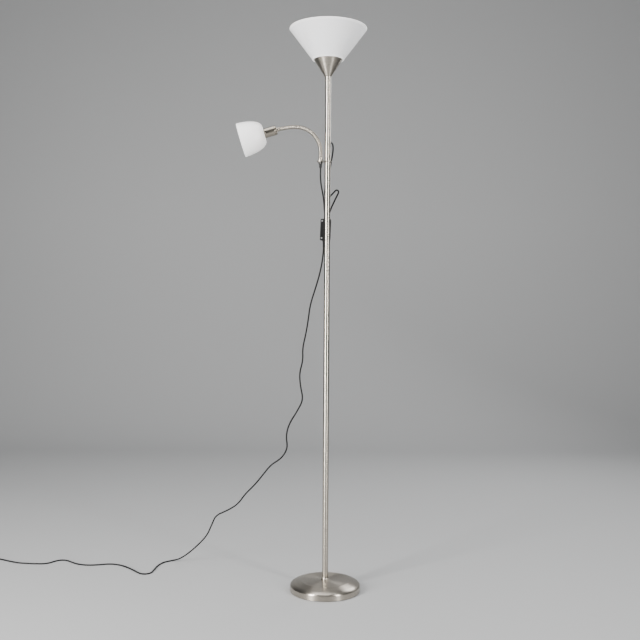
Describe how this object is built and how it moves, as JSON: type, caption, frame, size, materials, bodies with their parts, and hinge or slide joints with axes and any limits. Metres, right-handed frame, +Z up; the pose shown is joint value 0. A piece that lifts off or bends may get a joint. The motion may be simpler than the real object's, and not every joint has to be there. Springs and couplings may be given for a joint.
{
  "type": "torchiere floor lamp with reading light",
  "caption": "Slim nickel pole on a round weighted base, upward conical shade, flexible-neck reading light with a bell shade, and a rocker switch hanging on black leads.",
  "frame": {"origin": "centre of the base pad's underside, on the floor", "axes": "+Z up along the pole, the reading arm points towards -X, and the switch hangs behind the pole on the +Y side"},
  "size_m": [1.3856, 0.446, 1.8],
  "materials": {
    "nickel_plate": "satin nickel plate on steel, turned grain",
    "cast_weight": "as cast, painted dark",
    "felt": "pressed felt",
    "zinc_steel": "zinc plated",
    "black_plastic": "fine moulded texture",
    "holder_plastic": "moulded, glossy",
    "brass_parts": "bright",
    "bulb_metal": "rolled thread",
    "bulb_glass": "opal white glass",
    "uplight_shade_plastic": "milky white, smooth",
    "reading_shade_plastic": "white, glossy",
    "lead_sheath": "smooth black cable sheath",
    "black_rubber": "moulded",
    "tie_plastic": "coated wire band"
  },
  "bodies": {
    "lamp_stand": {"base_bolt": "zinc_steel", "base_cover": "nickel_plate", "base_felt_pad": "felt", "base_weight": "cast_weight", "coil_ties": "tie_plastic", "cup_lock_nut": "zinc_steel", "cup_nipple": "zinc_steel", "main_bulb_cap": "bulb_metal", "main_bulb_globe": "bulb_glass", "main_centre_contact": "brass_parts", "main_holder_body": "holder_plastic", "main_holder_cap": "holder_plastic", "main_screw_shell": "brass_parts", "main_shade": "uplight_shade_plastic", "main_shade_ring": "holder_plastic", "mains_coil": "lead_sheath", "mains_lead": "lead_sheath", "mains_strain_relief": "black_rubber", "plug_body": "black_rubber", "plug_pins": "brass_parts", "pole_bushes": "zinc_steel", "pole_foot_collar": "nickel_plate", "pole_grommet": "black_plastic", "pole_inner_lead": "lead_sheath", "pole_section_1": "nickel_plate", "pole_section_2": "nickel_plate", "pole_section_3": "nickel_plate", "pole_section_4": "nickel_plate", "pole_studs": "zinc_steel", "reading_lead": "lead_sheath", "shade_cup": "nickel_plate", "switch_back": "black_plastic", "switch_front": "black_plastic", "switch_screws": "zinc_steel", "switch_terminals": "brass_parts", "uplight_lead": "lead_sheath"},
    "arm": {"arm_plate": "nickel_plate", "neck_base_ferrule": "nickel_plate", "neck_nut": "nickel_plate", "lead_bushing": "black_plastic", "neck_link_1": "nickel_plate"},
    "neck_2": {"neck_link_2": "nickel_plate"},
    "neck_3": {"neck_link_3": "nickel_plate"},
    "neck_4": {"neck_link_4": "nickel_plate"},
    "neck_5": {"neck_link_5": "nickel_plate"},
    "neck_6": {"neck_link_6": "nickel_plate"},
    "head": {"neck_link_7": "nickel_plate", "neck_tip_ferrule": "nickel_plate", "neck_tip_nut": "nickel_plate", "reading_bulb_cap": "bulb_metal", "reading_bulb_globe": "bulb_glass", "reading_centre_contact": "brass_parts", "reading_cup": "nickel_plate", "reading_holder_body": "holder_plastic", "reading_holder_cap": "holder_plastic", "reading_screw_shell": "brass_parts", "reading_shade": "reading_shade_plastic", "reading_shade_ring": "holder_plastic"},
    "rocker_uplight": {"rocker_uplight": "black_plastic"},
    "rocker_reading": {"rocker_reading": "black_plastic"}
  },
  "joints": [
    {"name": "arm_swing", "type": "hinge", "parent": "lamp_stand", "child": "arm", "pos_m": [0, 0, 1.3745], "axis": [0, 0, 1], "range_deg": [-60, 60]},
    {"name": "neck_curl_1", "type": "hinge", "parent": "arm", "child": "neck_2", "pos_m": [-0.02301, 0, 1.41405], "axis": [0, -1, 0], "range_deg": [-14, 14]},
    {"name": "neck_side_1", "type": "hinge", "parent": "neck_2", "child": "neck_3", "pos_m": [-0.03096, 0, 1.44081], "axis": [0.8942, 0, 0.4477], "range_deg": [-14, 14]},
    {"name": "neck_curl_2", "type": "hinge", "parent": "neck_3", "child": "neck_4", "pos_m": [-0.04763, 0, 1.46322], "axis": [0, -1, 0], "range_deg": [-14, 14]},
    {"name": "neck_side_2", "type": "hinge", "parent": "neck_4", "child": "neck_5", "pos_m": [-0.07098, 0, 1.47853], "axis": [0.394, 0, 0.9191], "range_deg": [-14, 14]},
    {"name": "neck_curl_3", "type": "hinge", "parent": "neck_5", "child": "neck_6", "pos_m": [-0.09817, 0, 1.48488], "axis": [0, -1, 0], "range_deg": [-14, 14]},
    {"name": "neck_side_3", "type": "hinge", "parent": "neck_6", "child": "head", "pos_m": [-0.12616, 0, 1.48327], "axis": [-0.1256, 0, 0.9921], "range_deg": [-14, 14]},
    {"name": "rocker_uplight_tilt", "type": "hinge", "parent": "lamp_stand", "child": "rocker_uplight", "pos_m": [0.0019, 0.0299, 1.15726], "axis": [0.9994, 0, -0.0349], "range_deg": [0, 12]},
    {"name": "rocker_reading_tilt", "type": "hinge", "parent": "lamp_stand", "child": "rocker_reading", "pos_m": [-0.0121, 0.0299, 1.15774], "axis": [0.9994, 0, -0.0349], "range_deg": [0, 12]}
  ],
  "couplings": [
    {"joint": "neck_curl_2", "follows": "neck_curl_1", "ratio": 1},
    {"joint": "neck_curl_3", "follows": "neck_curl_1", "ratio": 1},
    {"joint": "neck_side_2", "follows": "neck_side_1", "ratio": 1},
    {"joint": "neck_side_3", "follows": "neck_side_1", "ratio": 1}
  ]
}
